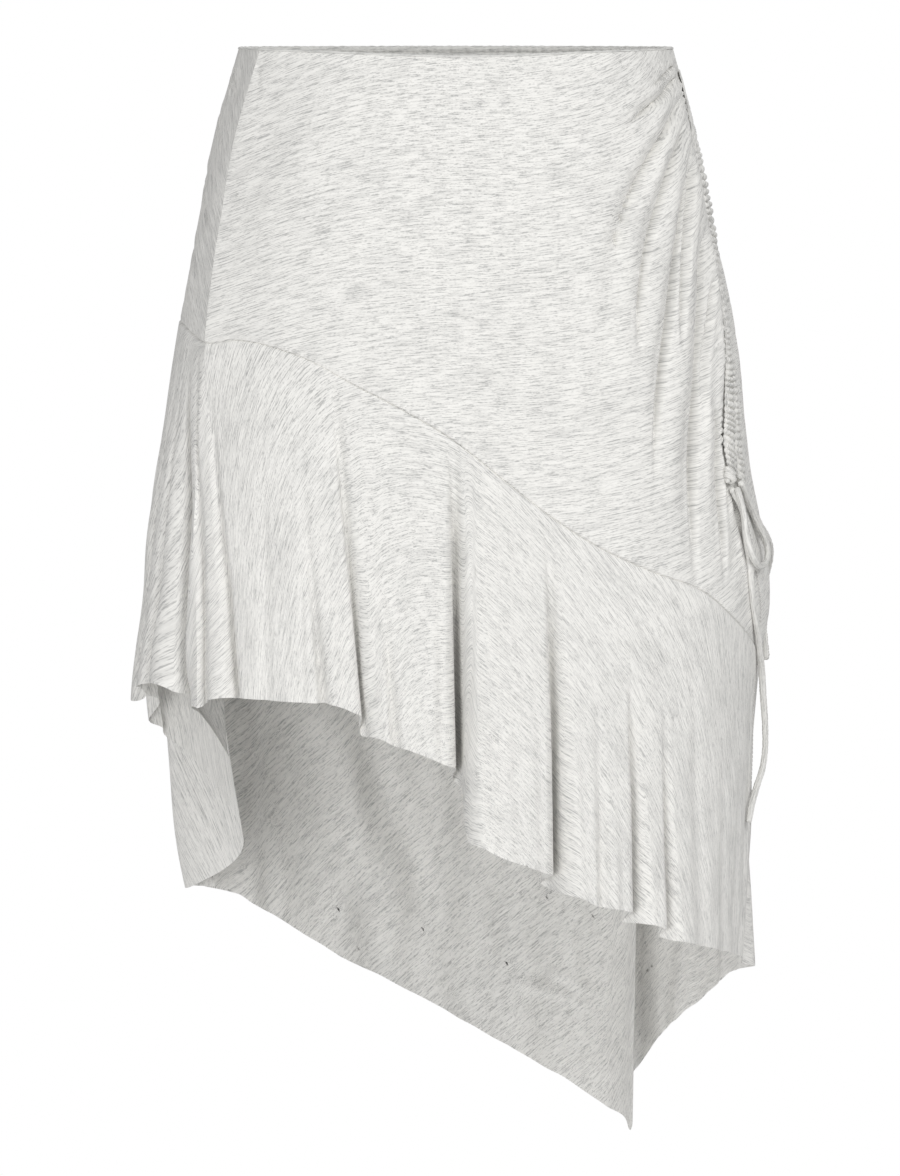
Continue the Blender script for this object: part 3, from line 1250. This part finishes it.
def buttonhole():
    place, beside, up, out = stand_at(BUTTONHOLE)

    def where(across, down):
        turn, over = across * 2 * np.pi, down * 2 * np.pi
        thick = BUTTONHOLE["thread"] * (1 + BUTTONHOLE["relief"] * np.sin(BUTTONHOLE["ribs"] * turn))
        x = (BUTTONHOLE["wide"] + thick * np.cos(over)) * np.cos(turn)
        z = (BUTTONHOLE["high"] + thick * np.cos(over)) * np.sin(turn)
        y = thick * np.sin(over)
        return place + beside * x[:, None] + up * z[:, None] + out * y[:, None]

    def flat(across, down):
        return np.stack([across * BUTTONHOLE["around"], down * BUTTONHOLE["over"]], axis=1)

    shape = bent_grid(BUTTONHOLE["columns"], BUTTONHOLE["rows"], where, flat, WELD)
    bmesh.ops.recalc_face_normals(shape, faces=shape.faces[:])
    return finish_piece("buttonhole", shape, DARK_THREAD)


buttonhole()
print("buttonhole", 2 * BUTTONHOLE["wide"], "by", 2 * BUTTONHOLE["high"], "mm")

# %% [markdown]
# Stitches are short rounded lengths of thread, sunk a little at both ends. One function lays a row of
# them along any line on the cloth: the row inside the turned waist, and the twin rows beside the side
# seam of the tied side and the end of the flounce's seam.

# %% Rows of stitches
STITCH = {"long": 2.1, "gap": 0.9, "across": 0.55, "proud": 0.28}


def stitch_row(name, line, out, finish=THREAD):
    """Stitches along a line of points, with the way out of the cloth at each."""
    along = along_line(line)
    count = int(along[-1] / (STITCH["long"] + STITCH["gap"]))
    row = bmesh.new()
    layer = row.loops.layers.uv.new("cut")

    def at(place, values):
        return np.array([np.interp(place, along, values[:, k]) for k in range(3)])

    for start in np.arange(count) * (STITCH["long"] + STITCH["gap"]):
        a, b = at(start, line), at(start + STITCH["long"], line)
        up = at(start, out)
        ahead = (b - a) / np.linalg.norm(b - a)
        side = np.cross(up, ahead)
        centre = (a + b) / 2 + up * STITCH["proud"]
        for vert in bmesh.ops.create_icosphere(row, subdivisions=1, radius=0.5)["verts"]:
            x, y, z = vert.co
            thick = (side * y + up * z) * STITCH["across"]
            vert.co = (centre + ahead * x * STITCH["long"] + thick) * MM
    for face in row.faces:
        for corner in face.loops:
            corner[layer].uv = (corner.vert.co.x, corner.vert.co.z)
    print(name, count, "stitches")
    return finish_piece(name, row, finish)


WAIST_POINTS = 1200
turns = np.linspace(0, TURN, WAIST_POINTS)
row_down = lerp(TURNING["over"], 1, TURNING["row"] / TURNING["deep"])
inside = waist_place(turns / TURN, np.full_like(turns, row_down))
stitch_row("waist_stitches", inside, -out_of(turns, np.zeros_like(turns)), DARK_THREAD)

SIDE_ROWS = {"from": 0.735, "to": 1.62, "points": 700, "beside": (1.6, 3.6)}
levels = np.linspace(SIDE_ROWS["from"], SIDE_ROWS["to"], SIDE_ROWS["points"])
lower_edge = flounce_angle(np.full_like(levels, tied_hem), np.maximum(levels - 1, 0))
tied = np.where(levels < 1, tied_seam(levels), lower_edge)
for number, beside in enumerate(SIDE_ROWS["beside"], 1):
    angle = tied - beside / degree_length(tied, drop_at(tied, levels))
    upper, lower = cloth(angle, levels, upper_relief), cloth(angle, levels, flounce_relief)
    points = np.where((levels < 1)[:, None], upper, lower)
    stitch_row(f"side_stitches_{number}", points, out_of(angle, levels))

SEAM_ROWS = {"from": 73.5, "to": 80, "points": 200, "above": (2.0, 4.0)}
angle = np.linspace(SEAM_ROWS["from"], SEAM_ROWS["to"], SEAM_ROWS["points"])
for number, above in enumerate(SEAM_ROWS["above"], 1):
    level = 1 - above / (seam_drop(angle) - waist_drop(angle))
    stitch_row(f"seam_stitches_{number}", cloth(angle, level, upper_relief), out_of(angle, level))

# %% [markdown]
# What the cloth measured before it was sewn isn't typed in: it is measured on the pieces, as one would
# take a pattern from a finished skirt. Each panel is parted into narrow strips from its upper edge to its
# lower one, and the strips are laid out flat beside each other with their true lengths, each turned by as
# much as its lower end is wider than its upper end. The upper panels are longer at the tied side than
# they hang, because the cord draws them up: by the channel's own length over its ridges.

# %% Lay the cuts out flat
STRIPS = 420
STATIONS = 24
PUFF_SAMPLES = 6000


def drawn_up(side):
    """How many times longer the cloth of a channel is than the seam that it is drawn up to."""
    down = np.linspace(0, 1, PUFF_SAMPLES)
    over = channel_place(np.full_like(down, 0.5), down, side)
    level = lerp(CASING["top"], CASING["bottom"], down)
    hangs = along_line(cloth(tied_seam(level), level))[-1]
    return along_line(over)[-1] / hangs, hangs


def directions(turn):
    """The way across and the way down a strip that is turned."""
    return np.array([np.cos(turn), np.sin(turn)]), np.array([np.sin(turn), -np.cos(turn)])


def lay_flat(lines, longer):
    """The flat outline of a panel from its strips' lines, which are longer in the cut by some lengths."""
    down = np.linalg.norm(np.diff(lines, axis=1), axis=2).sum(axis=1) + longer
    way = [lines[:, 1] - lines[:, 0], lines[:, -1] - lines[:, -2]]
    way = [each / np.linalg.norm(each, axis=1)[:, None] for each in way]
    steps = [np.diff(lines[:, end], axis=0) for end in (0, -1)]
    slant = [(step * each[:-1]).sum(axis=1) for step, each in zip(steps, way)]
    wide = [np.sqrt(np.maximum((step**2).sum(axis=1) - s**2, 0)) for step, s in zip(steps, slant)]
    turn, upper = 0.0, np.zeros(2)
    top, bottom = [upper], [np.array([0, -down[0]])]
    for i in range(len(steps[0])):
        bend = (wide[1][i] - wide[0][i]) / ((down[i] + down[i + 1]) / 2)
        across, along = directions(turn + bend / 2)
        upper = upper + across * wide[0][i] + along * slant[0][i]
        turn += bend
        top.append(upper)
        bottom.append(upper + down[i + 1] * directions(turn)[1])
    across, along = directions(turn / 2)
    return np.array(top + bottom[::-1]) @ np.stack([across, -along], axis=1)


def measure_cut(outline):
    """The width, length and area of a flat outline, in metres."""
    x, y = outline.T * MM
    area = abs(np.sum(x * np.roll(y, -1) - y * np.roll(x, -1))) / 2
    return float(np.ptp(x)), float(np.ptp(y)), float(area)


def upper_cut(start, end, tied_at_end):
    levels = np.linspace(0, 1, STATIONS)
    shares = np.linspace(0, 1, STRIPS)
    lines = np.array([cloth(lerp(start(levels), end(levels), share), levels) for share in shares])
    times, length = drawn_up(-1 if tied_at_end else 1)
    fade = shares if tied_at_end else 1 - shares
    print("drawn up", round(times, 2), "times over", round(length), "mm")
    return measure_cut(lay_flat(lines, (times - 1) * length * fade))


def flounce_cut(start, end):
    shares = np.linspace(0, 1, STATIONS)
    stations = np.linspace(start, end, STRIPS)
    lines = np.array([cloth(flounce_angle(np.full_like(shares, at), shares), 1 + shares) for at in stations])
    return measure_cut(lay_flat(lines, 0.0))


CUTS = {
    front_panel: upper_cut(plain_seam, tied_seam, True),
    back_panel: upper_cut(tied_seam, plain_seam_behind, False),
    front_flounce: flounce_cut(plain_hem, tied_hem),
    back_flounce: flounce_cut(tied_hem, plain_hem + TURN),
}

# %% [markdown]
# The library keeps what each cord and sheet is. A cord is declared with its length, its thickness and its
# route. A sheet is declared with its flat cut, what holds it up and what is sewn on it.

# %% [markdown]
# Last, the triangles are counted, without those of the solids and the floor, and the size of the dressed
# part is kept beside the solids' own.

# %% Size, and finish
counts = [
    sum(len(face.vertices) - 2 for face in thing.data.polygons)
    for thing in bpy.context.scene.objects
    if thing.type == "MESH" and thing != floor and thing.name not in SOLIDS
]
print("triangles", sum(counts), "in all, at most", max(counts), "a piece")
